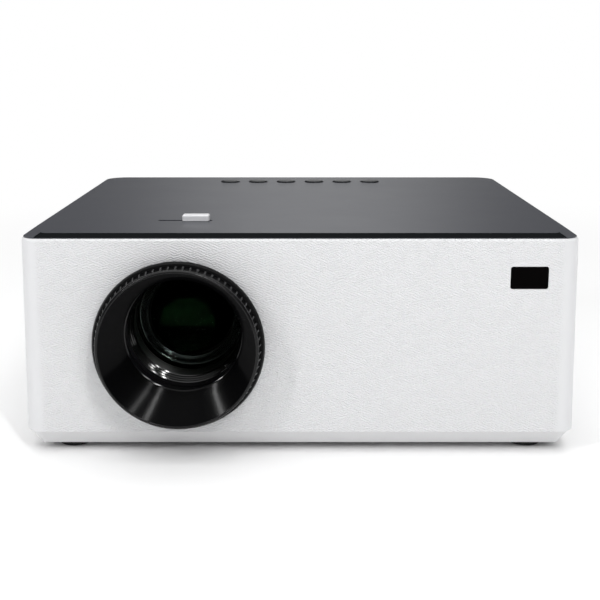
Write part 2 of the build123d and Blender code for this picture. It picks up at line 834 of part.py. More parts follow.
with BuildPart() as lamp_plate:
    with BuildSketch(sideways(lamp_plate_x)):
        with Locations((fold_y, engine_middle)):
            Rectangle(engine_inner_width, engine_inner_height)
        with Locations((fold_y, lens_z)):
            Circle(condenser_radius + 0.1, mode=Mode.SUBTRACT)
    extrude(amount=3.0)
    with BuildSketch(sideways(lamp_plate_x + 3.0)):
        with Locations((fold_y, lens_z)):
            Circle(condenser_radius + 3)
            Circle(condenser_radius - 2, mode=Mode.SUBTRACT)
    extrude(amount=1.0)
save(lamp_plate, "lamp_plate")

with BuildPart() as condenser_lens:
    revolve(glass(*condenser_form, lamp_plane), axis=lamp_axis)
save(condenser_lens, "condenser_lens")

# LED on its board, clamped to the heat sink.
with BuildPart() as led_board:
    with BuildSketch(sideways(heat_sink_x - 1.6)):
        with Locations((fold_y, lens_z)):
            RectangleRounded(40, 40, 2)
    extrude(amount=1.6)
save(led_board, "led_board")

with BuildPart() as led_emitter:
    with BuildSketch(sideways(heat_sink_x - 1.6)):
        with Locations((fold_y, lens_z)):
            Rectangle(17, 17)
    extrude(amount=-0.9)
save(led_emitter, "led_emitter")

with BuildPart() as heat_sink:
    with BuildSketch(sideways(heat_sink_x)):
        with Locations((fold_y, lens_z)):
            Rectangle(heat_sink_size, heat_sink_size)
    extrude(amount=4.0)
    with BuildSketch(sideways(heat_sink_x + 4.0)):
        with Locations((fold_y, lens_z)):
            with GridLocations(heat_sink_size / fin_count, 0, fin_count, 1):
                Rectangle(1.4, heat_sink_size)
    extrude(amount=fan_x - 0.5 - heat_sink_x - 4.0)
save(heat_sink, "heat_sink")

# Fan: a square frame with a hub on four arms, an impeller, and the shaft it turns on.
fan_rear_plane = sideways(fan_x + fan_depth)
with BuildPart() as fan_frame:
    with BuildSketch(sideways(fan_x)):
        with Locations((fold_y, lens_z)):
            RectangleRounded(fan_size, fan_size, 4)
            Circle(fan_bore, mode=Mode.SUBTRACT)
            with GridLocations(50, 50, 2, 2):
                Circle(2.1, mode=Mode.SUBTRACT)
    extrude(amount=fan_depth)
    with BuildSketch(fan_rear_plane):
        with Locations((fold_y, lens_z)):
            Circle(hub_radius)
            Rectangle(2 * fan_bore + 2, 4, rotation=45)
            Rectangle(2 * fan_bore + 2, 4, rotation=-45)
    extrude(amount=-2.0)
    with BuildSketch(fan_rear_plane):
        with Locations((fold_y, lens_z)):
            Circle(fan_shaft_radius + 0.04)
    extrude(amount=-2.0, mode=Mode.SUBTRACT)
save(fan_frame, "fan_frame")

with BuildPart() as blade:
    with BuildSketch(Plane(origin=(hub_radius - 1.0, 0, 0), x_dir=(0, 0, 1), z_dir=(1, 0, 0))):
        Rectangle(12.5, 1.3, rotation=42)
    extrude(amount=blade_radius - hub_radius + 1.0)

impeller_plane = Plane(origin=(fan_x + 6.3, fold_y, lens_z), x_dir=(0, 1, 0), z_dir=(1, 0, 0))
with BuildPart(impeller_plane) as fan_impeller:
    Cylinder(hub_radius - 0.2, 10.8)
    with PolarLocations(0, blade_count):
        add(blade.part)
    Cylinder(fan_shaft_radius, 10.8, mode=Mode.SUBTRACT)
save(fan_impeller, "fan_impeller")

with BuildPart() as fan_shaft:
    with BuildSketch(sideways(fan_x + 0.9)):
        with Locations((fold_y, lens_z)):
            Circle(fan_shaft_radius)
    extrude(amount=fan_depth - 0.9)
save(fan_shaft, "fan_shaft")

# Keystone slider: the white tab on top, its stem through the slot, and its foot under the cover.
tab_middle = (tab_left + tab_right) / 2
slider_y = front + slot_place
with BuildPart() as keystone_slider:
    with BuildSketch(level(case_top + 0.15)):
        with Locations((tab_middle, slider_y)):
            Rectangle(tab_right - tab_left, tab_depth)
    extrude(amount=tab_height - 0.15)
    fillet(keystone_slider.edges().filter_by(Axis.Z), 0.9)
    fillet(keystone_slider.faces().sort_by(Axis.Z)[-1].edges(), 0.7)
    with BuildSketch(level(link_height + link_thickness)):
        with Locations((tab_middle, slider_y)):
            Rectangle(stem_length, slot_width - 0.4)
    extrude(amount=case_top + 0.5 - link_height - link_thickness)
    with BuildSketch(level(link_height + link_thickness)):
        with Locations((tab_middle, slider_y)):
            Rectangle(stem_length + 6, 2 * rail_place - 2.4)
    extrude(amount=cover_underside - gap - link_height - link_thickness)
save(keystone_slider, "keystone_slider")

# Link: a steel strip from the slider's foot back to the peg of the keystone frame.
with BuildPart() as keystone_link:
    with BuildSketch(level(link_height)):
        with BuildLine():
            Polyline(
                (tab_middle - 9, slider_y - 5),
                (tab_middle + 9, slider_y - 5),
                (frame_x + 9, fold_y - 9),
                (frame_x + 9, fold_y + 7),
                (frame_x - 9, fold_y + 7),
                (tab_middle - 9, slider_y + 5),
                close=True,
            )
        make_face()
        with Locations((frame_x, fold_y)):
            Rectangle(2 * peg_radius + 1.4, 7, mode=Mode.SUBTRACT)
    extrude(amount=link_thickness)
save(keystone_link, "keystone_link")

# Keys: slightly domed round caps, each with a collar under the cover and a stem to its switch.
for number, x in enumerate(key_xs, start=1):
    with BuildPart() as key:
        with BuildSketch(level(cover_underside - gap - 1.0)):
            with Locations((x, front + key_place)):
                Circle(key_radius)
        extrude(amount=case_top + key_height - cover_underside + gap + 1.0)
        fillet(key.faces().sort_by(Axis.Z)[-1].edges(), 0.35)
        with BuildSketch(level(cover_underside - gap - 1.0)):
            with Locations((x, front + key_place)):
                Circle(key_radius + 1.2)
        extrude(amount=1.0)
        with BuildSketch(level(switch_top)):
            with Locations((x, front + key_place)):
                Circle(1.8)
        extrude(amount=cover_underside - gap - switch_top - 1.0)
    save(key, f"key_{number}")

# Key board, held under the top cover's bosses, with a switch under each key.
with BuildPart() as key_board:
    with BuildSketch(level(key_board_top - 1.2)):
        with Locations((0, front + key_place)):
            RectangleRounded(120, 16, 2)
        with Locations(key_board_posts):
            Circle(1.1, mode=Mode.SUBTRACT)
    extrude(amount=1.2)
save(key_board, "key_board")

with BuildPart() as key_switches:
    with BuildSketch(level(key_board_top)):
        with Locations(key_spots):
            Rectangle(6, 6)
    extrude(amount=switch_top - key_travel - 0.2 - key_board_top)
save(key_switches, "key_switches")

# Main board with its parts, over the rear right of the base, under the engine's lamp leg.
with BuildPart() as main_board:
    with BuildSketch(level(board_bottom)):
        with Locations((main_board_x, main_board_y)):
            Rectangle(main_board_width, main_board_depth)
    extrude(amount=board_thickness)
save(main_board, "main_board")

with BuildPart() as main_board_parts:
    for x, y, width, depth, height in chips:
        with BuildSketch(level(board_top)):
            with Locations((x, y)):
                Rectangle(width, depth)
        extrude(amount=height)
save(main_board_parts, "main_board_parts")

# Sockets along the rear edge of the main board.
socket_plane = across(rear - socket_set_back)
tongue_plane = across(rear - socket_set_back - 2.0)
with BuildPart() as hdmi_sockets:
    with BuildSketch(socket_plane):
        with Locations(hdmi_spots):
            RectangleRounded(hdmi_width, hdmi_height, 0.8)
    extrude(amount=socket_depth)
    with BuildSketch(socket_plane):
        with Locations(hdmi_spots):
            RectangleRounded(hdmi_width - 2 * socket_wall, hdmi_height - 2 * socket_wall, 0.6)
    extrude(amount=socket_depth - 1.5, mode=Mode.SUBTRACT)
    with BuildSketch(tongue_plane):
        with Locations([(x, z + 0.4) for x, z in hdmi_spots]):
            Rectangle(11.0, 1.2)
    extrude(amount=socket_depth - 3.0)
save(hdmi_sockets, "hdmi_sockets")

with BuildPart() as usb_sockets:
    with BuildSketch(socket_plane):
        with Locations(usb_spots):
            RectangleRounded(usb_width, usb_height, 0.5)
    extrude(amount=socket_depth)
    with BuildSketch(socket_plane):
        with Locations(usb_spots):
            RectangleRounded(usb_width - 2 * socket_wall, usb_height - 2 * socket_wall, 0.4)
    extrude(amount=socket_depth - 1.5, mode=Mode.SUBTRACT)
    with BuildSketch(tongue_plane):
        with Locations([(x, z + 1.0) for x, z in usb_spots]):
            Rectangle(11.4, 1.9)
    extrude(amount=socket_depth - 3.0)
save(usb_sockets, "usb_sockets")

with BuildPart() as audio_sockets:
    with BuildSketch(across(rear - wall - 0.4)):
        with Locations(audio_spots):
            Rectangle(8.0, 2 * audio_centre - 0.2)
    extrude(amount=socket_depth - wall)
    with BuildSketch(socket_plane):
        with Locations(audio_spots):
            Circle(audio_radius)
    extrude(amount=3.0)
    with BuildSketch(socket_plane):
        with Locations(audio_spots):
            Circle(audio_bore)
    extrude(amount=socket_depth - 1.5, mode=Mode.SUBTRACT)
save(audio_sockets, "audio_sockets")

# Mains inlet: a figure-of-eight socket with two pins.
inlet_plane = across(rear - inlet_set_back)
with BuildPart() as mains_inlet:
    with BuildSketch(inlet_plane):
        with Locations((inlet_x, inlet_z)):
            RectangleRounded(inlet_width, inlet_height, 1.8)
    extrude(amount=inlet_depth)
    with BuildSketch(inlet_plane):
        with Locations((inlet_x, inlet_z)):
            RectangleRounded(inlet_cavity_width, inlet_cavity_height, 4.0)
    extrude(amount=inlet_depth - 3, mode=Mode.SUBTRACT)
    with BuildSketch(across(rear - inlet_set_back - 2.0)):
        with Locations((inlet_x - pin_pitch / 2, inlet_z), (inlet_x + pin_pitch / 2, inlet_z)):
            Circle(pin_radius)
    extrude(amount=inlet_depth - 4)
save(mains_inlet, "mains_inlet")

# Power board with its parts, in the front right of the case.
with BuildPart() as power_board:
    with BuildSketch(level(board_bottom)):
        with Locations((power_board_x, power_board_y)):
            Rectangle(power_board_width, power_board_depth)
    extrude(amount=board_thickness)
save(power_board, "power_board")

with BuildPart() as power_board_parts:
    for x, y, width, depth, height in power_blocks:
        with BuildSketch(level(board_top)):
            with Locations((x, y)):
                Rectangle(width, depth)
        extrude(amount=height)
    with BuildSketch(level(board_top)):
        with Locations(capacitor_places):
            Circle(6.0)
    extrude(amount=22)
save(power_board_parts, "power_board_parts")

# Loudspeaker behind the slots of the left side: a basket with its magnet, and the cone.
with BuildPart() as speaker_basket:
    with BuildSketch(sideways(speaker_x)):
        with Locations((speaker_y, lens_z)):
            RectangleRounded(2 * speaker_radius + 6, 2 * speaker_radius + 6, 4)
            Circle(speaker_radius, mode=Mode.SUBTRACT)
    extrude(amount=2.0)
    with BuildSketch(sideways(speaker_x + 2.0)):
        with Locations((speaker_y, lens_z)):
            Circle(speaker_radius + speaker_ring)
            Circle(speaker_radius, mode=Mode.SUBTRACT)
    extrude(amount=6.0)
    with BuildSketch(sideways(speaker_x + 8.0)):
        with Locations((speaker_y, lens_z)):
            Circle(speaker_radius + speaker_ring)
    extrude(amount=1.5)
    with BuildSketch(sideways(speaker_x + 9.5)):
        with Locations((speaker_y, lens_z)):
            Circle(14)
    extrude(amount=6.0)
save(speaker_basket, "speaker_basket")

speaker_plane = Plane(origin=(speaker_x, speaker_y, lens_z), x_dir=(1, 0, 0), z_dir=(0, -1, 0))
with BuildPart() as speaker_cone:
    revolve(turned([
        (1.2, speaker_radius),
        (0.4, 19.0),
        (6.5, 7.0),
        (7.9, 0.0),
        (7.1, 0.0),
        (5.7, 6.5),
        (-0.4, 19.0),
        (0.4, speaker_radius),
    ], speaker_plane), axis=Axis((speaker_x, speaker_y, lens_z), (1, 0, 0)))
save(speaker_cone, "speaker_cone")
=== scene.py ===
import math

import bpy
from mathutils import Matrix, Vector


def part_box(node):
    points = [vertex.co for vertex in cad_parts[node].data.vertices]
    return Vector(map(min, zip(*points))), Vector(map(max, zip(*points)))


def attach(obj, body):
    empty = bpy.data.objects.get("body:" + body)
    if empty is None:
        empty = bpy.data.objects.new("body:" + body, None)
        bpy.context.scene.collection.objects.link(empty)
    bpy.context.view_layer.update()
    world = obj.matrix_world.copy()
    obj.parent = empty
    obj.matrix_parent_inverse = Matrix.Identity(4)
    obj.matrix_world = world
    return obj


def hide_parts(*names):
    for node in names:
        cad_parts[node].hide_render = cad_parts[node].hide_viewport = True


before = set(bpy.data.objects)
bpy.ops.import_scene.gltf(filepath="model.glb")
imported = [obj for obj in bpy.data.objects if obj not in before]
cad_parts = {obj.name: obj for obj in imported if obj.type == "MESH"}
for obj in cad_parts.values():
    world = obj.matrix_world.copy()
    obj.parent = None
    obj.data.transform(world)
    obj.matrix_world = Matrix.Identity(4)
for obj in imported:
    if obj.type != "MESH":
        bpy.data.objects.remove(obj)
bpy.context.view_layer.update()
bpy.ops.object.select_all(action="DESELECT")
bpy.context.scene.view_settings.view_transform = "Standard"


# The camera stands in front of the projector, a little above its top, and looks slightly down.
# It is close enough for the sides of the top cover to run together towards the rear.
camera_distance = 0.5325
camera_height = 0.1707
camera_pitch = 10.9
sensor_width = 36.0
focal_length = 63.3
frame_shift = -0.075
bpy.ops.object.camera_add(
    location=(0.0, -camera_distance, camera_height),
    rotation=(math.radians(90 - camera_pitch), 0, 0),
)
camera = bpy.context.object
camera.name = "camera"
camera.data.sensor_width = sensor_width
camera.data.lens = focal_length
camera.data.shift_y = frame_shift
camera.data.clip_start = 0.01
bpy.context.scene.camera = camera


# The studio is a tent. Its walls are white along the horizon, dark above that, and bright in the
# roof, where the light comes through. One soft glow hangs low at the rear and shines back from the
# satin top of the projector.
wall_top = 0.065               # heights are sines of the angle above the horizon
wall_blur = 0.02
tent_levels = [(0.0, 0.03), (0.20, 0.035), (0.32, 0.10), (0.55, 0.26), (0.80, 0.80), (0.95, 2.25)]
glow_direction = Vector((0.01, 0.95, 0.31)).normalized()
glow_edge = 0.980              # the cosine of the angle at which the glow begins
glow_strength = 1.08


def feed(tree, node, inputs):
    """Give each input of a node its value, or link it to the output of another node."""
    for entry, value in inputs.items():
        if isinstance(value, bpy.types.NodeSocket):
            tree.links.new(value, node.inputs[entry])
        else:
            node.inputs[entry].default_value = value


def shader_node(tree, kind, inputs=None, **settings):
    """Add a node to a tree, set it up and feed its inputs."""
    node = tree.nodes.new("ShaderNode" + kind)
    for setting, value in settings.items():
        setattr(node, setting, value)
    feed(tree, node, inputs or {})
    return node


world = bpy.data.worlds.new("tent")
bpy.context.scene.world = world
world.use_nodes = True
tree = world.node_tree
tree.nodes.clear()
direction = shader_node(tree, "TexCoord").outputs["Generated"]
parts = shader_node(tree, "SeparateXYZ", {0: direction})
height_light = shader_node(tree, "ValToRGB", {0: parts.outputs["Z"]})
height_light.color_ramp.interpolation = "EASE"
while len(height_light.color_ramp.elements) < len(tent_levels):
    height_light.color_ramp.elements.new(0.5)
for stop, (height, level) in zip(height_light.color_ramp.elements, tent_levels):
    stop.position = height
    stop.color = (level, level, level, 1)
towards_glow = shader_node(
    tree, "VectorMath", {0: direction, 1: glow_direction}, operation="DOT_PRODUCT",
)
glow = shader_node(
    tree, "MapRange",
    {"Value": towards_glow.outputs["Value"], "From Min": glow_edge, "From Max": 1.0,
     "To Max": glow_strength},
    interpolation_type="SMOOTHSTEP",
)
with_glow = shader_node(
    tree, "Math", {0: height_light.outputs[0], 1: glow.outputs[0]}, operation="ADD",
)
above_wall = shader_node(
    tree, "MapRange",
    {"Value": parts.outputs["Z"], "From Min": wall_top, "From Max": wall_top + wall_blur},
)
wall_or_tent = shader_node(
    tree, "Mix", {"Factor": above_wall.outputs[0], "A": 1.0, "B": with_glow.outputs[0]},
    data_type="FLOAT",
)
tent = shader_node(
    tree, "Background", {"Color": (1, 1, 1, 1), "Strength": wall_or_tent.outputs["Result"]},
)
shader_node(tree, "OutputWorld", {0: tent.outputs[0]})

# Three strip lamps stand high in front. They light the white face, and make the streaks in the
# hood and the glints on the rings round the glass.
lamp_aim = Vector((-0.05, -0.1, 0.05))
for name, place, width, height, power in (
    ("strip_lamp_middle", (0.30, -0.845, 0.876), 0.05, 0.55, 3.3),
    ("strip_lamp_left", (-0.78, -0.714, 0.74), 0.04, 0.50, 2.95),
    ("strip_lamp_right", (0.54, -0.89, 0.70), 0.04, 0.40, 1.2),
):
    bpy.ops.object.light_add(type="AREA", location=place)
    lamp = bpy.context.object
    lamp.name = name
    lamp.data.shape = "RECTANGLE"
    lamp.data.size = width
    lamp.data.size_y = height
    lamp.data.energy = power
    lamp.rotation_euler = (lamp_aim - Vector(place)).to_track_quat("-Z", "Y").to_euler()

# The floor is a wide white sweep. It keeps the soft shadow under the projector, and turns to plain
# white further out, for the camera and in reflections.
sweep_size = 40.0
sweep_from = 0.30
sweep_to = 0.75
sweep_paint = (0.93, 0.93, 0.93, 1)
bpy.ops.mesh.primitive_plane_add(size=sweep_size, location=(0, 0, 0))
floor = bpy.context.object
floor.name = "floor"
sweep = bpy.data.materials.new("white_sweep")
sweep.use_nodes = True
tree = sweep.node_tree
tree.nodes.clear()
paint = shader_node(tree, "BsdfDiffuse", {"Color": sweep_paint})
place = shader_node(tree, "TexCoord").outputs["Object"]
reach = shader_node(tree, "VectorMath", {0: place}, operation="LENGTH")
outwards = shader_node(
    tree, "MapRange",
    {"Value": reach.outputs["Value"], "From Min": sweep_from, "From Max": sweep_to},
    interpolation_type="SMOOTHSTEP",
)
rays = shader_node(tree, "LightPath")
seen = rays.outputs["Is Camera Ray"]
for ray in ("Is Glossy Ray", "Is Transmission Ray"):
    seen = shader_node(
        tree, "Math", {0: seen, 1: rays.outputs[ray]}, operation="ADD", use_clamp=True,
    ).outputs[0]
share = shader_node(tree, "Math", {0: seen, 1: outwards.outputs[0]}, operation="MULTIPLY")
white = shader_node(tree, "Emission")
sweep_mix = shader_node(
    tree, "MixShader", {0: share.outputs[0], 1: paint.outputs[0], 2: white.outputs[0]},
)
shader_node(tree, "OutputMaterial", {0: sweep_mix.outputs[0]})
floor.data.materials.append(sweep)


# The front, side and rear panels are moulded in white plastic with a fine emboss of ripples,
# like watered silk. Their corners are left smooth. They clip together with narrow joints.
panel_white = (0.738, 0.741, 0.754)
panel_roughness = 0.38
ripple_pitch = 0.00095
ripple_sway = 2.5
ripple_leans = (19, -22)       # two sets of ripples, in degrees from level
ripple_depth = 0.00016
patch_scale = 620.0            # how often one set gives way to the other
patch_edges = (0.42, 0.58)
crinkle_scale = 900.0          # an uneven ground under both sets
crinkle_share = 1.7
smooth_corners = (0.1085, 0.1120)
no_corners = (0.5, 0.6)        # beyond the case, so the whole panel has the emboss
cloud_scale = 35.0
polish_spread = (0.93, 1.07)   # how far the roughness of a plastic strays, as shares of it


def new_material(name):
    """A material with its tree, its main shader and the coordinates of the piece."""
    material = bpy.data.materials.new(name)
    material.use_nodes = True
    tree = material.node_tree
    place = shader_node(tree, "TexCoord").outputs["Object"]
    return material, tree, tree.nodes["Principled BSDF"], place


def noise(tree, place, scale, detail):
    """The value of a noise pattern."""
    texture = shader_node(tree, "TexNoise", {"Vector": place, "Scale": scale, "Detail": detail})
    return texture.outputs["Fac"]


def moulded(name, colour, roughness, gloss=0.5, grain=0.0006, depth=0.00001, mottle=0.03,
            shine=(1, 1, 1)):
    """A moulded plastic: a faint grain, and a colour and a gloss that are not quite even."""
    material, tree, skin, place = new_material(name)
    cloud = noise(tree, place, cloud_scale, 3.0)
    darker = tuple(c * (1 - mottle) for c in colour) + (1,)
    lighter = tuple(min(c * (1 + mottle), 1) for c in colour) + (1,)
    tint = shader_node(
        tree, "Mix", {"Factor": cloud, "A": darker, "B": lighter}, name="tint", data_type="RGBA",
    )
    polish = shader_node(
        tree, "MapRange",
        {"Value": cloud, "To Min": roughness * polish_spread[0],
         "To Max": roughness * polish_spread[1]},
    )
    specks = noise(tree, place, 1 / grain, 2.0)
    relief = shader_node(tree, "Bump", {"Distance": depth, "Height": specks}, name="relief")
    feed(tree, skin, {
        "Specular IOR Level": gloss,
        "Specular Tint": tuple(shine) + (1,),
        "Base Color": tint.outputs["Result"],
        "Roughness": polish.outputs[0],
        "Normal": relief.outputs[0],
    })
    return material


def rippled(name, axis, corners):
    """The white plastic with its emboss, smooth where the axis runs into a corner."""
    material = moulded(name, panel_white, panel_roughness, mottle=0.008)
    tree = material.node_tree
    place = tree.nodes["Texture Coordinate"].outputs["Object"]
    sets = []
    for lean in map(math.radians, ripple_leans):
        turn = shader_node(tree, "Mapping", {"Vector": place, "Rotation": (lean, lean, 0)})
        ripples = shader_node(
            tree, "TexWave",
            {"Vector": turn.outputs[0], "Scale": math.pi / 10 / ripple_pitch,
             "Distortion": ripple_sway, "Detail": 1.0, "Detail Scale": 0.8},
            wave_type="BANDS", bands_direction="Z",
        )
        sets.append(ripples.outputs["Fac"])
    choice = shader_node(
        tree, "MapRange",
        {"Value": noise(tree, place, patch_scale, 0.0), "From Min": patch_edges[0],
         "From Max": patch_edges[1]},
        interpolation_type="SMOOTHSTEP",
    )
    woven = shader_node(
        tree, "Mix", {"Factor": choice.outputs[0], "A": sets[0], "B": sets[1]}, data_type="FLOAT",
    )
    crinkled = shader_node(
        tree, "Math",
        {0: noise(tree, place, crinkle_scale, 1.0), 1: crinkle_share, 2: woven.outputs["Result"]},
        operation="MULTIPLY_ADD",
    )
    parts = shader_node(tree, "SeparateXYZ", {0: place})
    distance = shader_node(tree, "Math", {0: parts.outputs[axis]}, operation="ABSOLUTE")
    flat = shader_node(
        tree, "MapRange",
        {"Value": distance.outputs[0], "From Min": corners[0], "From Max": corners[1],
         "To Min": 1.0, "To Max": 0.0},
        interpolation_type="SMOOTHSTEP",
    )
    emboss = shader_node(
        tree, "Math", {0: crinkled.outputs[0], 1: flat.outputs[0]}, operation="MULTIPLY",
    )
    feed(tree, tree.nodes["relief"], {"Distance": ripple_depth, "Height": emboss.outputs[0]})
    return material


def coat(material, *nodes):
    """Give CAD nodes a material."""
    for node in nodes:
        for material_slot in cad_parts[node].material_slots:
            material_slot.material = material


coat(rippled("rippled_front", "X", smooth_corners), "front_panel", "rear_panel")
coat(rippled("rippled_side", "Y", no_corners), "left_side_panel", "right_side_panel")

# The base cover is a tray of the same white plastic. It is smooth, and a shade greyer.
smooth_white = moulded("smooth_white", (0.72, 0.72, 0.728), 0.38, mottle=0.01)
coat(smooth_white, "base_cover")

# The top cover is one sheet of dark grey plastic with a satin gloss. It sits inside the white rim.
satin_grey = moulded(
    "satin_grey", (0.041, 0.043, 0.053), 0.34, grain=0.0004, depth=0.000002,
    shine=(0.88, 0.925, 1.0),
)
coat(satin_grey, "top_cover")

# The trim strip is a sheet let into the front edge of the top cover. It hardly shines. Its
# near-black colour is painted shade, standing for the shadow in the recess along that edge.
strip_painted_shade = moulded("strip_painted_shade", (0.0095, 0.0105, 0.0115), 0.5, gloss=0.0)
coat(strip_painted_shade, "front_trim_strip")

# The remote-control window is a small sheet of dark red-black acrylic, glued in from behind.
# Its receiver sits on a green board of its own.
window_black = moulded(
    "window_black", (0.0012, 0.0009, 0.0009), 0.06, gloss=0.015, depth=0.000001,
)
coat(window_black, "ir_window")


# The focus ring is moulded in black plastic. Outside it has a flange and a ribbed grip, in front a
# glossy rim. Inside is a deep hood, turned with fine grooves that keep light off the glass, and it
# ends in a polished lip round its throat.
lens_middle = Vector((-0.0509, -0.101, 0.0497))     # on the lens axis, in the front panel's face
ring_outline = [
    (-7.2, 34.2), (-7.2, 35.2), (-7.1, 35.5), (-6.85, 35.7), (-5.5, 36.3), (-5.12, 36.25),
    (-5.0, 36.0), (-5.0, 34.5), (0.9, 34.5), (1.0, 34.4), (1.0, 33.6), (19.8, 33.6), (20.0, 33.4),
    (20.0, 31.8), (-4.0, 31.8), (-4.0, 31.0), (-12.0, 33.3), (-11.85, 33.5),
]
rim_outline = [
    (-12.8, 32.62), (-12.9, 32.68), (-13.0, 32.85), (-13.0, 33.15), (-12.85, 33.4),
    (-12.5, 33.85), (-12.3, 33.95), (-11.9, 34.0), (-11.85, 33.85), (-11.85, 33.45),
    (-12.3, 33.0),
]
hood_back = [
    (-12.8, 32.62), (-12.3, 33.1), (-4.0, 30.9), (3.2, 27.95), (13.8, 27.0), (14.0, 26.8),
    (14.0, 25.9), (13.85, 25.7),
]
hood_parts = [((13.8, 25.7), (3.0, 26.6), 22), ((3.0, 26.6), (-12.8, 32.62), 32)]
facet_slope = math.tan(math.radians(54.7))
return_slope = math.tan(math.radians(-10))
lip_outline = [
    (13.05, 25.85), (13.1, 25.75), (13.4, 25.30), (13.6, 25.25), (13.9, 25.3), (14.0, 25.45),
    (14.0, 26.0), (13.3, 26.2),
]
rib_count = 70
rib_size = (0.00095, 0.0047, 0.0015)
rib_place = Vector((0, -0.0095, 0.0344))            # the first rib stands above the axis
rib_edge = 0.0003
rib_fall = -0.0012             # the front end of a rib lies this much nearer to the axis
ring_steps = 192
ring_smooth = 32               # edges that turn by more degrees than this stay sharp
crisp_smooth = 20
folded_smooth = 40
facing = 0.9                   # the least cosine at which a face counts as facing an axis
merge_gap = 0.000002


def spun(name, foot, axis, out, outline, steps, smooth=ring_smooth):
    """Trace an outline of (distance along the axis, radius) in millimetres and spin it round."""
    foot, axis, out = Vector(foot), Vector(axis), Vector(out)
    spots = [foot + axis * (along / 1000) + out * (radius / 1000) for along, radius in outline]
    if outline[0][1] > 0:
        spots.append(spots[0])
    bpy.ops.mesh.primitive_plane_add(size=0.001, location=spots[0])
    piece = bpy.context.object
    piece.name = name
    bpy.ops.object.mode_set(mode="EDIT")
    bpy.ops.mesh.select_mode(type="VERT")
    bpy.ops.mesh.select_all(action="SELECT")
    bpy.ops.mesh.merge(type="CENTER")
    for here, there in zip(spots, spots[1:]):
        bpy.ops.mesh.extrude_vertices_move(TRANSFORM_OT_translate={"value": there - here})
    bpy.ops.mesh.select_all(action="SELECT")
    bpy.ops.mesh.spin(steps=steps, angle=math.tau, center=foot, axis=axis)
    bpy.ops.mesh.select_all(action="SELECT")
    bpy.ops.mesh.remove_doubles(threshold=merge_gap)
    bpy.ops.mesh.normals_make_consistent(inside=False)
    bpy.ops.object.mode_set(mode="OBJECT")
    bpy.ops.object.transform_apply(location=True, rotation=True, scale=True)
    bpy.ops.object.shade_smooth_by_angle(angle=math.radians(smooth))
    return piece


def lens_ring(name, outline, steps=ring_steps, smooth=ring_smooth):
    """Spin an outline round the axis of the lens. Distances run inwards from the front face."""
    return spun(name, lens_middle, (0, 1, 0), (1, 0, 0), outline, steps, smooth)


def block(name, middle, size):
    """A plain box of this size."""
    bpy.ops.object.select_all(action="DESELECT")
    bpy.ops.mesh.primitive_cube_add(size=1.0, location=middle, scale=size)
    piece = bpy.context.object
    piece.name = name
    bpy.ops.object.transform_apply(location=True, rotation=True, scale=True)
    return piece


def spin_copies(count, middle, axis):
    """In edit mode, copy the mesh round an axis until there are this many, and leave the mode."""
    bpy.ops.mesh.select_all(action="SELECT")
    bpy.ops.mesh.spin(
        steps=count - 1, angle=math.tau * (count - 1) / count, dupli=True,
        center=middle, axis=axis,
    )
    bpy.ops.mesh.select_all(action="SELECT")
    bpy.ops.mesh.normals_make_consistent(inside=False)
    bpy.ops.object.mode_set(mode="OBJECT")


def fit(piece, material, body, slot, *nodes):
    """Coat a new piece, set it on its body, and let it stand for CAD nodes."""
    piece.data.materials.clear()
    piece.data.materials.append(material)
    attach(piece, body)
    if nodes:
        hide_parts(*nodes)
    piece.select_set(False)


ring_satin = moulded(
    "ring_satin", (0.0035, 0.0035, 0.0038), 0.30, gloss=0.07, grain=0.0004, depth=0.000003,
)
focus_ring = lens_ring("focus_ring_turned", ring_outline)
fit(focus_ring, ring_satin, "focus_ring", "focus_black", "focus_ring")

grooves = []
for (place, radius), (next_place, next_radius), count in hood_parts:
    run = (place - next_place) / count
    rise = (next_radius - radius) / count
    facet_run = (rise - run * return_slope) / (facet_slope - return_slope)
    for number in range(count):
        start = (place - run * number, radius + rise * number)
        grooves += [start, (start[0] - facet_run, start[1] + facet_run * facet_slope)]
hood_black = moulded(
    "hood_black", (0.0024, 0.0024, 0.0027), 0.11, gloss=0.055, grain=0.0004, depth=0.000001,
)
hood = lens_ring("grooved_hood", grooves + hood_back)
fit(hood, hood_black, "focus_ring", "focus_black", "focus_ring")

rim_gloss = moulded("rim_gloss", (0.0040, 0.0040, 0.0043), 0.20, gloss=0.25, depth=0.000001)
rim = lens_ring("front_rim", rim_outline)
fit(rim, rim_gloss, "focus_ring", "focus_black", "focus_ring")

lip_black = moulded("lip_black", (0.003, 0.003, 0.0034), 0.08, gloss=0.3, depth=0.0)
throat_lip = lens_ring("throat_lip", lip_outline, smooth=crisp_smooth)
fit(throat_lip, lip_black, "focus_ring", "focus_black", "focus_ring")

grip_ribs = block("grip_ribs", lens_middle + rib_place, rib_size)
bpy.ops.object.mode_set(mode="EDIT")
bpy.ops.mesh.select_all(action="DESELECT")
bpy.ops.mesh.select_mode(type="FACE")
bpy.ops.object.mode_set(mode="OBJECT")
for face in grip_ribs.data.polygons:
    face.select = face.normal.y < -facing
bpy.ops.object.mode_set(mode="EDIT")
bpy.ops.transform.translate(value=(0, 0, rib_fall))
bpy.ops.mesh.select_all(action="SELECT")
bpy.ops.mesh.bevel(offset=rib_edge, segments=2, affect="EDGES")
spin_copies(rib_count, lens_middle, (0, 1, 0))
bpy.ops.object.shade_smooth_by_angle(angle=math.radians(ring_smooth))
fit(grip_ribs, rim_gloss, "focus_ring", "focus_black", "focus_ring")


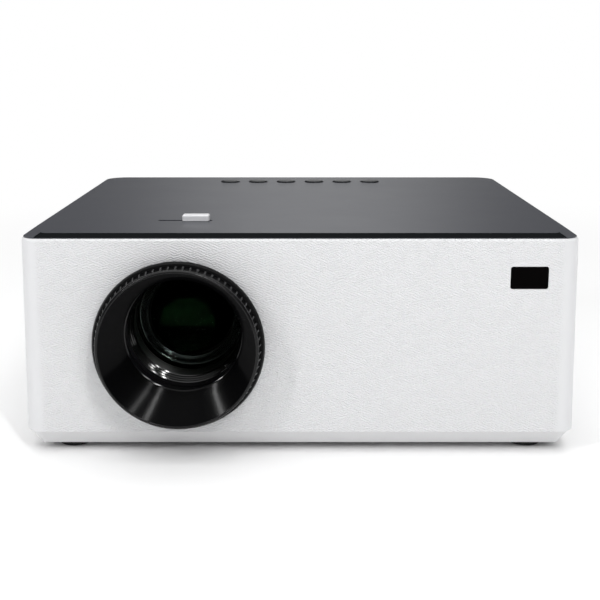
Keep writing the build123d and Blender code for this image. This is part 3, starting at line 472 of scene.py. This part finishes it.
# The lens barrel, its tube and its two retaining rings are black plastic. The front ring is
# glossy, and its steps have bevelled edges that catch the light. Behind its lip it is grooved, and
# an aluminium spacer with a broad bevel lies between the first two lenses.
inner_black = moulded("inner_black", (0.010, 0.010, 0.011), 0.45, gloss=0.25)
coat(inner_black, "lens_barrel", "lens_tube", "rear_retaining_ring")
stepped_outline = [
    (27.3, 26.4), (27.4, 26.5), (45.9, 26.5), (45.9, 26.0), (33.3, 25.0), (33.0, 24.55),
    (32.75, 24.4), (32.6, 24.4), (32.3, 24.85), (30.95, 24.95), (30.7, 25.35), (29.2, 25.4),
    (28.95, 25.8), (27.6, 25.85), (27.3, 26.3),
]
ring_black = moulded("ring_black", (0.003, 0.0035, 0.0033), 0.09, gloss=0.8, depth=0.0)
stepped_ring = lens_ring("stepped_ring", stepped_outline, smooth=crisp_smooth)
fit(stepped_ring, ring_black, "lens_barrel", "inner_black", "lens_retaining_ring")

seat_turns = 16
seat_back = 45.6
seat_run = 12.4 / seat_turns
seat_radius = 25.5
seat_fall = 0.95 / seat_turns
ridge_run = 0.19
ridge_rise = 0.28
seat_outline = [(45.9, 26.0), (45.9, 25.55), (seat_back, seat_radius)]
for number in range(seat_turns):
    place = seat_back - seat_run * number
    radius = seat_radius - seat_fall * number
    seat_outline += [
        (place - ridge_run, radius + ridge_rise), (place - seat_run, radius - seat_fall),
    ]
seat_outline += [(33.1, 24.8)]
seat_green = moulded(
    "seat_green", (0.008, 0.013, 0.009), 0.30, gloss=0.22, mottle=0.1, depth=0.000001,
)
glass_seat = lens_ring("glass_seat", seat_outline, steps=160, smooth=crisp_smooth)
fit(glass_seat, seat_green, "lens_barrel", "inner_black", "lens_retaining_ring")

spacer_outline = [
    (51.0, 19.3), (50.9, 19.3), (50.5, 20.5), (50.0, 21.7), (49.4, 22.9), (49.35, 23.2),
    (49.45, 23.5), (49.65, 23.6), (50.7, 23.6), (50.98, 23.4), (51.0, 23.1),
]
spacer_grey = moulded("spacer_grey", (0.520, 0.520, 0.550), 0.21, mottle=0.05, depth=0.0)
spacer_grey.node_tree.nodes["Principled BSDF"].inputs["Metallic"].default_value = 1.0
spacer = lens_ring("lens_spacer", spacer_outline, steps=128, smooth=crisp_smooth)
fit(spacer, spacer_grey, "lens_barrel", "aluminium")


# The front lens is ground glass, held in the stepped ring. It is bloomed, so that it hardly shines.
# Its grey tint is painted shade. The middle lens shines green from its coating, but its near-black
# tint is painted shade, and the rear lens has a darker tint still, also painted shade.
dust_scale = 60.0
dust_edges = (0.4, 0.9)
dust_dulling = 0.97
dust_roughness = 0.03


def lens_glass(name, tint, gloss=0.5, shine=(1, 1, 1)):
    """Clear glass with a tint, a coating that holds back its shine, and a breath of dust. A dark
    tint is painted shade, darkening what is seen through the glass.
    """
    material, tree, skin, place = new_material(name)
    dust = noise(tree, place, dust_scale, 4.0)
    dulled = tuple(c * dust_dulling for c in tint) + (1,)
    colour = shader_node(
        tree, "Mix", {"Factor": dust, "A": dulled, "B": tuple(tint) + (1,)}, data_type="RGBA",
    )
    film = shader_node(
        tree, "MapRange",
        {"Value": dust, "From Min": dust_edges[0], "From Max": dust_edges[1], "To Min": 0.0,
         "To Max": dust_roughness},
    )
    feed(tree, skin, {
        "Transmission Weight": 1.0,
        "IOR": 1.5,
        "Specular IOR Level": gloss,
        "Specular Tint": tuple(shine) + (1,),
        "Base Color": colour.outputs["Result"],
        "Roughness": film.outputs[0],
    })
    return material


def sphere_fall(curve, radius):
    """How far a ground face of this curve lies behind its middle at this radius."""
    return curve - math.sqrt(curve ** 2 - radius ** 2)


front_curve = 62.0
rear_curve = 260.0
front_crown = 40.5
rear_crown = 47.0
glass_radius = 25.9
face_steps = 16
front_arc = []
rear_arc = []
for number in range(face_steps + 1):
    radius = glass_radius * number / face_steps
    front_arc.append((front_crown + sphere_fall(front_curve, radius), radius))
    rear_arc.append((rear_crown + sphere_fall(rear_curve, radius), radius))
front_glass = lens_ring("front_glass", front_arc + rear_arc[::-1], steps=128)
# The grey tint of the front glass is painted shade: it darkens all that is seen through it.
coated_glass_painted_shade = lens_glass("coated_glass_painted_shade", (0.42, 0.47, 0.44), shine=(0, 0, 0))
fit(front_glass, coated_glass_painted_shade, "lens_barrel", "optic_glass", "front_lens")
# The near-black tints of the middle and rear lenses are painted shade for the dark inside of the
# lens.
green_coat_and_painted_shade = lens_glass("green_coat_and_painted_shade", (0.015, 0.030, 0.018), shine=(0.12, 0.42, 0.14))
coat(green_coat_and_painted_shade, "middle_lens")
painted_shade_glass = lens_glass("painted_shade_glass", (0.015, 0.020, 0.018), gloss=0.0)
coat(painted_shade_glass, "rear_lens")
clear_glass = lens_glass("clear_glass", (0.90, 0.95, 0.93), gloss=0.3)
coat(clear_glass, "condenser_lens", "collimating_lens", "field_lens")


# Six round keys stand in a row near the rear edge. Each is a black cap with a low dome, a collar
# that keeps it under the cover, and a stem down to its switch.
key_outline = [
    (0, 0), (-0.03, 1.6), (-0.10, 3.2), (-0.20, 4.4), (-0.32, 4.95), (-0.50, 5.28),
    (-0.75, 5.42), (-1.05, 5.45), (-3.1, 5.45), (-3.2, 5.55), (-3.3, 6.5), (-3.4, 6.6),
    (-4.2, 6.6), (-4.3, 6.5), (-4.3, 1.9), (-4.4, 1.8), (-7.3, 1.8), (-7.4, 1.7), (-7.4, 0),
]
key_black = moulded(
    "key_black", (0.012, 0.013, 0.015), 0.34, gloss=0.22, grain=0.0003, depth=0.000002,
)
for number in range(1, 7):
    low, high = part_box(f"key_{number}")
    key_top = ((low[0] + high[0]) / 2, (low[1] + high[1]) / 2, high[2])
    key = spun(f"key_cap_{number}", key_top, (0, 0, 1), (1, 0, 0), key_outline, 48)
    fit(key, key_black, f"key_{number}", "key_grey", f"key_{number}")

# The keystone slider is a white tab in a slot of the cover. Its stem holds a steel link underneath.
tab_white = moulded("tab_white", (0.75, 0.753, 0.77), 0.35, mottle=0.01, depth=0.000003)
coat(tab_white, "keystone_slider")
mark_scale = 400.0
mark_shades = (0.88, 1.06)     # how far the colour of a metal strays, as shares of it
mark_polish = (0.8, 1.25)


def metal(name, colour, roughness, stretch=(1, 1, 1), depth=0.000001):
    """A bare metal with fine marks. They run along the axis that is stretched least."""
    material, tree, skin, place = new_material(name)
    run = shader_node(tree, "Mapping", {"Vector": place, "Scale": stretch})
    marks = noise(tree, run.outputs[0], mark_scale, 4.0)
    darker = tuple(c * mark_shades[0] for c in colour) + (1,)
    lighter = tuple(min(c * mark_shades[1], 1) for c in colour) + (1,)
    tint = shader_node(
        tree, "Mix", {"Factor": marks, "A": darker, "B": lighter}, data_type="RGBA",
    )
    polish = shader_node(
        tree, "MapRange",
        {"Value": marks, "To Min": roughness * mark_polish[0],
         "To Max": roughness * mark_polish[1]},
    )
    relief = shader_node(tree, "Bump", {"Distance": depth, "Height": marks})
    feed(tree, skin, {
        "Metallic": 1.0,
        "Base Color": tint.outputs["Result"],
        "Roughness": polish.outputs[0],
        "Normal": relief.outputs[0],
    })
    return material


steel = metal("plain_steel", (0.60, 0.60, 0.61), 0.30)
coat(steel, "keystone_link", "guide_pins", "fan_shaft", "tube_screws")


# The feet are discs of soft black rubber, glued in their seats. Each sole has one round groove.
foot_outline = [
    (4.1, 0), (4.1, 7.4), (4.0, 7.5), (0.9, 7.5), (0.5, 7.38), (0.2, 7.1), (0.03, 6.7),
    (0.0, 6.2), (0.0, 5.3), (0.12, 5.15), (0.5, 5.0), (0.5, 4.3), (0.12, 4.15), (0.0, 4.0),
    (0.0, 0.8), (0.35, 0.4), (0.35, 0),
]
foot_rubber = moulded(
    "foot_rubber", (0.02, 0.02, 0.021), 0.75, gloss=0.3, grain=0.0005, depth=0.00003,
)
for foot_name in ("foot_front_left", "foot_front_right", "foot_rear_left", "foot_rear_right"):
    low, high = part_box(foot_name)
    foot_middle = ((low[0] + high[0]) / 2, (low[1] + high[1]) / 2, low[2])
    foot = spun(foot_name + "_disc", foot_middle, (0, 0, 1), (1, 0, 0), foot_outline, 64)
    fit(foot, foot_rubber, "case", "foot_rubber", foot_name)

# The tripod insert is turned brass, pressed into the base. It is threaded for a quarter-inch screw.
insert_pitch = 1.27
insert_turns = 6
insert_top = 8.9
insert_root = 3.15
insert_crest = 2.72
insert_outline = [
    (0.45, 3.15), (0.0, 3.6), (0.0, 4.75), (0.2, 4.95), (8.8, 4.95), (9.0, 4.75), (9.0, 3.3),
]
for turn in range(insert_turns):
    insert_outline += [
        (insert_top - insert_pitch * turn, insert_root),
        (insert_top - insert_pitch * (turn + 0.5), insert_crest),
    ]
low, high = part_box("tripod_insert")
insert_foot = ((low[0] + high[0]) / 2, (low[1] + high[1]) / 2, low[2])
thread_insert = spun("threaded_insert", insert_foot, (0, 0, 1), (1, 0, 0), insert_outline, 64)
brass = metal("turned_brass", (0.72, 0.53, 0.24), 0.28, stretch=(1, 1, 6))
fit(thread_insert, brass, "case", "brass", "tripod_insert")

# Four steel screws hold the case. Each lies deep in a post of the base, its cross recess downwards.
low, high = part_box("case_screws")
head_radius = 0.0029
screw_reach = (high[2] - low[2]) * 1000
screw_pitch = 1.1
thread_start = 2.4
plain_length = 4.0             # the head and the point, which have no thread
shank_radius = 1.25
crest_radius = 1.48
recess_width = 0.0006
recess_length = 0.0032
recess_height = 0.0022
screw_outline = [
    (0, 0), (0, 2.2), (0.12, 2.6), (0.5, 2.85), (1.3, 2.9), (1.9, 2.9), (2.0, 2.8), (2.0, 1.6),
]
for turn in range(int((screw_reach - plain_length) / screw_pitch)):
    screw_outline += [
        (thread_start + screw_pitch * turn, shank_radius),
        (thread_start + screw_pitch * (turn + 0.5), crest_radius),
    ]
screw_outline += [(screw_reach - 0.9, 1.2), (screw_reach, 0.3), (screw_reach, 0)]
screw_spots = [
    (x, y) for x in (low[0] + head_radius, high[0] - head_radius)
    for y in (low[1] + head_radius, high[1] - head_radius)
]
for number, (x, y) in enumerate(screw_spots, start=1):
    head = (x, y, low[2])
    screw = spun(f"case_screw_{number}", head, (0, 0, 1), (1, 0, 0), screw_outline, 32)
    for width, length in ((recess_width, recess_length), (recess_length, recess_width)):
        recess = block("recess", head, (width, length, recess_height))
        bpy.context.view_layer.objects.active = screw
        bpy.ops.object.modifier_add(type="BOOLEAN")
        screw.modifiers[-1].operation = "DIFFERENCE"
        screw.modifiers[-1].object = recess
        bpy.ops.object.modifier_apply(modifier=screw.modifiers[-1].name)
        bpy.data.objects.remove(recess)
    fit(screw, steel, "case", "steel", "case_screws")


# The optical engine and the other inner mouldings are black plastic.
coat(inner_black, "engine_housing", "engine_lid", "keystone_frame", "lamp_plate", "fan_frame",
     "key_switches", "audio_sockets", "mains_inlet", "speaker_basket")

# The folding mirror is silvered on its front. The lamp sits on a bonded aluminium heat sink, and
# the picture panel is a dark sheet of glass in its tilting frame.
silver = metal("silvered_glass", (0.88, 0.89, 0.90), 0.02, depth=0.0)
coat(silver, "fold_mirror")
aluminium = metal("drawn_aluminium", (0.74, 0.75, 0.77), 0.36, stretch=(1, 8, 1))
coat(aluminium, "heat_sink")
phosphor = moulded("phosphor", (0.86, 0.70, 0.16), 0.45, mottle=0.08)
coat(phosphor, "led_emitter")
panel_glass = moulded(
    "panel_glass", (0.010, 0.011, 0.014), 0.55, gloss=0.1, mottle=0.1, depth=0.0,
)
coat(panel_glass, "lcd_panel")


# The boards are green laminate with paler copper tracks under the lacquer. Their parts are black
# mouldings.
def laminate(name, green, track):
    """Lacquered board: tracks in two directions, paler than the ground."""
    material = moulded(name, green, 0.30, depth=0.000004)
    tree = material.node_tree
    tracks = shader_node(tree, "TexBrick", {
        "Vector": tree.nodes["Texture Coordinate"].outputs["Object"],
        "Scale": 260.0,
        "Mortar Size": 0.06,
        "Brick Width": 1.7,
        "Row Height": 0.32,
        "Color1": (1, 1, 1, 1),
        "Color2": (0.6, 0.6, 0.6, 1),
        "Mortar": (0, 0, 0, 1),
    })
    copper = shader_node(
        tree, "Mix",
        {"Factor": tracks.outputs["Color"], "A": tuple(green) + (1,), "B": tuple(track) + (1,)},
        data_type="RGBA",
    )
    feed(tree, tree.nodes["tint"], {"B": copper.outputs["Result"]})
    return material


green_board = laminate("green_board", (0.012, 0.075, 0.035), (0.035, 0.16, 0.07))
coat(green_board, "main_board", "power_board", "key_board", "ir_receiver", "led_board")
parts_black = moulded("parts_black", (0.022, 0.022, 0.024), 0.42, grain=0.0002, mottle=0.15)
coat(parts_black, "main_board_parts", "power_board_parts")


# The sockets stand along the rear edge of the main board. Their shells are folded steel. Each has
# a black tongue with gilded contacts.
shell_widths = {"hdmi_sockets": 0.0150, "usb_sockets": 0.0136}
shell_corner = 0.0008
shell_wall = 0.00045
shell_depth = 0.0113
tongue_length = 0.0098
tongue_inset = 0.0069          # from the mouth of the shell to the middle of the tongue
tongue_edge = 0.00025
contact_length = 0.0075
contact_inset = 0.0062
contact_height = 0.0002
contact_edge = 0.00005
contact_spread = 0.9           # the share of the tongue that the row covers
contact_share = 0.5            # the share of the pitch that is metal
gilt = metal("gilt", (0.85, 0.62, 0.25), 0.22)


def bevelled_block(name, middle, size, edge, segments):
    """A box of this size with all its edges bevelled."""
    piece = block(name, middle, size)
    bpy.ops.object.mode_set(mode="EDIT")
    bpy.ops.mesh.select_all(action="SELECT")
    bpy.ops.mesh.bevel(offset=edge, segments=segments, affect="EDGES")
    bpy.ops.object.mode_set(mode="OBJECT")
    return piece


def socket(name, node, number, tongue_size, tongue_up, contacts):
    """One socket of a pair: an open steel shell, its tongue and a row of contacts under it."""
    low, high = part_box(node)
    width = shell_widths[node]
    middle = high[0] - width / 2 if number == 1 else low[0] + width / 2
    up = (high[2] + low[2]) / 2
    mouth = high[1]
    shell = block(
        f"{name}_shell_{number}", (middle, (low[1] + high[1]) / 2, up),
        (width, high[1] - low[1], high[2] - low[2]),
    )
    bpy.ops.object.mode_set(mode="EDIT")
    bpy.ops.mesh.select_all(action="DESELECT")
    bpy.ops.object.mode_set(mode="OBJECT")
    for edge in shell.data.edges:
        ends = [shell.data.vertices[v].co for v in edge.vertices]
        edge.select = abs(ends[0].y - ends[1].y) > 0.001
    bpy.ops.object.mode_set(mode="EDIT")
    bpy.ops.mesh.select_mode(type="EDGE")
    bpy.ops.mesh.bevel(offset=shell_corner, segments=4, affect="EDGES")
    bpy.ops.mesh.select_all(action="DESELECT")
    bpy.ops.object.mode_set(mode="OBJECT")
    for face in shell.data.polygons:
        face.select = face.normal.y > facing
    bpy.ops.object.mode_set(mode="EDIT")
    bpy.ops.mesh.select_mode(type="FACE")
    bpy.ops.mesh.inset(thickness=shell_wall)
    bpy.ops.mesh.extrude_region_move(TRANSFORM_OT_translate={"value": (0, -shell_depth, 0)})
    bpy.ops.object.mode_set(mode="OBJECT")
    bpy.ops.object.shade_smooth_by_angle(angle=math.radians(folded_smooth))
    fit(shell, steel, "case", "steel", node)
    tongue = bevelled_block(
        f"{name}_tongue_{number}", (middle, mouth - tongue_inset, up + tongue_up),
        (tongue_size[0], tongue_length, tongue_size[1]), tongue_edge, 2,
    )
    fit(tongue, inner_black, "case", "inner_black", node)
    pitch = tongue_size[0] * contact_spread / contacts
    first = (
        middle - pitch * (contacts - 1) / 2, mouth - contact_inset,
        up + tongue_up - tongue_size[1] / 2,
    )
    row = bevelled_block(
        f"{name}_contacts_{number}", first,
        (pitch * contact_share, contact_length, contact_height), contact_edge, 1,
    )
    bpy.ops.object.modifier_add(type="ARRAY")
    row.modifiers[-1].count = contacts
    row.modifiers[-1].use_relative_offset = False
    row.modifiers[-1].use_constant_offset = True
    row.modifiers[-1].constant_offset_displace = (pitch, 0, 0)
    bpy.ops.object.modifier_apply(modifier=row.modifiers[-1].name)
    fit(row, gilt, "case", "steel", node)


for number in (1, 2):
    socket("hdmi", "hdmi_sockets", number, (0.0110, 0.0012), 0.0004, 10)
    socket("usb", "usb_sockets", number, (0.0114, 0.0019), 0.0010, 4)

# The two sound sockets have turned steel rims, and the mains inlet has two round steel pins.
sound_inset = 0.004
sound_stand = 0.0001
sound_outline = [
    (0.0, 1.85), (0.0, 2.7), (-0.05, 2.9), (-0.25, 3.1), (-1.2, 3.15), (-1.2, 3.3), (-2.9, 3.3),
    (-2.9, 1.75), (-0.25, 1.75),
]
low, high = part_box("audio_sockets")
for number, x in enumerate((low[0] + sound_inset, high[0] - sound_inset), start=1):
    spot = (x, high[1] + sound_stand, (low[2] + high[2]) / 2)
    rim = spun(f"sound_rim_{number}", spot, (0, 1, 0), (1, 0, 0), sound_outline, 40)
    fit(rim, steel, "case", "steel")
pin_side = 0.0043
pin_inset = 0.0019
pin_outline = [(0, 0), (-0.05, 0.6), (-0.3, 1.0), (-0.8, 1.24), (-12.5, 1.24), (-12.6, 0)]
low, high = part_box("mains_inlet")
for number, side in enumerate((-pin_side, pin_side), start=1):
    spot = ((low[0] + high[0]) / 2 + side, high[1] - pin_inset, (low[2] + high[2]) / 2)
    pin = spun(f"mains_pin_{number}", spot, (0, 1, 0), (1, 0, 0), pin_outline, 24)
    fit(pin, steel, "case", "steel")

# The loudspeaker has a pressed paper cone with a rolled edge and a round cap over its coil.
cone_plane = -0.115            # where the cone's edge lies, inside the left panel
cone_thickness = 0.5
cone_outline = [
    (1.2, 21.9), (1.1, 21.6), (0.5, 21.2), (0.05, 20.6), (-0.1, 19.9), (0.1, 19.3), (0.6, 18.9),
    (0.9, 18.6), (6.0, 7.6), (6.2, 7.2), (5.5, 6.6), (4.3, 4.9), (3.6, 2.6), (3.4, 0),
]
back_of_cone = [(along + cone_thickness, radius) for along, radius in reversed(cone_outline)]
low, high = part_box("speaker_cone")
speaker_middle = (cone_plane, (low[1] + high[1]) / 2, (low[2] + high[2]) / 2)
cone = spun("speaker_paper", speaker_middle, (1, 0, 0), (0, 1, 0), back_of_cone + cone_outline, 72)
paper_black = moulded(
    "paper_black", (0.020, 0.020, 0.021), 0.85, gloss=0.15, grain=0.0008, depth=0.00004,
)
fit(cone, paper_black, "case", "inner_black", "speaker_cone")


# The fan rotor is one moulding: a round hub over the motor, and seven twisted blades.
fan_middle = Vector((0.1058, 0.032, 0.0497))
hub_outline = [
    (-5.4, 1.5), (-5.4, 14.2), (-4.9, 14.7), (-4.4, 14.8), (4.6, 14.8), (5.1, 14.6), (5.4, 14.2),
    (5.4, 1.5),
]
blade_count = 7
blade_stations = 5
blade_size = (0.0012, 0.0124, 0.0006)
blade_root = 0.0143
blade_lean = -52
blade_twist = 3.5              # degrees from one station to the next
blade_sweep = 0.0003
blade_rise = 0.0025
blade_edge = 0.0004
fan_black = moulded("fan_black", (0.012, 0.012, 0.013), 0.40, gloss=0.3)
fan_hub = spun("fan_hub", fan_middle, (1, 0, 0), (0, 1, 0), hub_outline, 64)
fit(fan_hub, fan_black, "fan", "inner_black", "fan_impeller")
fan_blades = block("fan_blades", fan_middle + Vector((0, 0, blade_root)), blade_size)
bpy.ops.object.mode_set(mode="EDIT")
bpy.ops.mesh.select_all(action="SELECT")
bpy.ops.transform.rotate(
    value=math.radians(blade_lean), orient_axis="Z", center_override=fan_middle,
)
bpy.ops.mesh.select_all(action="DESELECT")
bpy.ops.object.mode_set(mode="OBJECT")
top = max(vertex.co.z for vertex in fan_blades.data.vertices)
for face in fan_blades.data.polygons:
    face.select = min(fan_blades.data.vertices[v].co.z for v in face.vertices) > top - 0.00001
bpy.ops.object.mode_set(mode="EDIT")
bpy.ops.mesh.select_mode(type="FACE")
for number in range(blade_stations):
    bpy.ops.mesh.extrude_region_move(
        TRANSFORM_OT_translate={"value": (0, blade_sweep, blade_rise)},
    )
    bpy.ops.transform.rotate(
        value=math.radians(blade_twist), orient_axis="Z",
        center_override=fan_middle + Vector((0, blade_sweep * number, 0)),
    )
spin_copies(blade_count, fan_middle, (1, 0, 0))
bpy.ops.object.modifier_add(type="BEVEL")
fan_blades.modifiers[-1].width = blade_edge
fan_blades.modifiers[-1].segments = 2
bpy.ops.object.modifier_apply(modifier=fan_blades.modifiers[-1].name)
bpy.ops.object.shade_smooth_by_angle(angle=math.radians(folded_smooth))
fit(fan_blades, fan_black, "fan", "inner_black", "fan_impeller")
